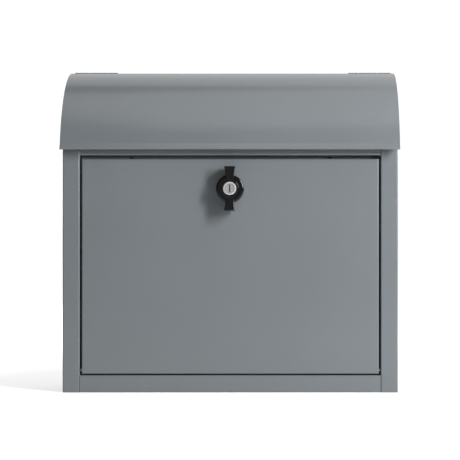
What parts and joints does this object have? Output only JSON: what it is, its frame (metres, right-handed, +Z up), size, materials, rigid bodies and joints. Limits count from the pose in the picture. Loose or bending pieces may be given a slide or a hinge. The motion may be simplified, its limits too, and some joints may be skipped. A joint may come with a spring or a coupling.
{
  "type": "wall mounted mailbox",
  "caption": "Folded steel wall mailbox with a curved top lid hinged at the rear and a drop-down front door closed by a winged knob with a key plug.",
  "frame": {"origin": "centre of the four wall screw holes, on the wall plane", "axes": "+Z up, +Y into the wall, +X to the right of a person facing the front"},
  "size_m": [0.3728, 0.125, 0.3625],
  "materials": {
    "grey_powder_coat": "satin grey powder coat",
    "zinc_steel": "zinc plated",
    "black_enamel": "gloss black enamel",
    "chrome": "polished",
    "nickel_plug": "turned, nickel plated",
    "brass": "stamped",
    "spring_steel": "drawn wire",
    "nylon": "black moulded nylon",
    "rubber": "moulded rubber"
  },
  "bodies": {
    "case": {"back_panel": "grey_powder_coat", "left_side_panel": "grey_powder_coat", "right_side_panel": "grey_powder_coat", "bottom_panel": "grey_powder_coat", "front_top_rail": "grey_powder_coat", "lid_hinge_rods": "zinc_steel", "door_hinge_bushes": "nylon", "door_stop_bumpers": "rubber", "lid_rest_buffers": "rubber"},
    "lid": {"lid_shell": "grey_powder_coat", "left_lid_cheek": "grey_powder_coat", "right_lid_cheek": "grey_powder_coat"},
    "door": {"door_panel": "grey_powder_coat", "door_hinge_pins": "zinc_steel", "lock_backing_plate": "zinc_steel", "lock_washer": "zinc_steel", "lock_nut": "zinc_steel", "lock_rosette": "black_enamel", "lock_barrel": "zinc_steel"},
    "knob": {"wing_knob": "black_enamel", "lock_housing": "chrome", "knob_spindle": "zinc_steel", "lock_cam": "zinc_steel", "cam_washer": "zinc_steel", "cam_screw": "zinc_steel"},
    "plug": {"lock_plug": "nickel_plug", "wafer_tumblers": "brass", "wafer_springs": "spring_steel"},
    "bolt": {"locking_bolt": "zinc_steel"}
  },
  "joints": [
    {"name": "lid_hinge", "type": "hinge", "parent": "case", "child": "lid", "pos_m": [0, -0.00256, 0.2099], "axis": [-1, 0, 0], "range_deg": [0, 90]},
    {"name": "door_hinge", "type": "hinge", "parent": "case", "child": "door", "pos_m": [0, -0.0985, -0.1255], "axis": [1, 0, 0], "range_deg": [0, 85]},
    {"name": "knob_turn", "type": "hinge", "parent": "door", "child": "knob", "pos_m": [0, -0.102, 0.0745], "axis": [0, -1, 0], "range_deg": [0, 90]},
    {"name": "key_turn", "type": "hinge", "parent": "knob", "child": "plug", "pos_m": [0, -0.102, 0.0745], "axis": [0, -1, 0], "range_deg": [0, 90]},
    {"name": "bolt_slide", "type": "slide", "parent": "knob", "child": "bolt", "axis": [-1, 0, 0], "range_m": [0, 0.0017]}
  ],
  "couplings": [
    {"joint": "bolt_slide", "follows": "key_turn", "m_per_rad": 0.0010186}
  ]
}
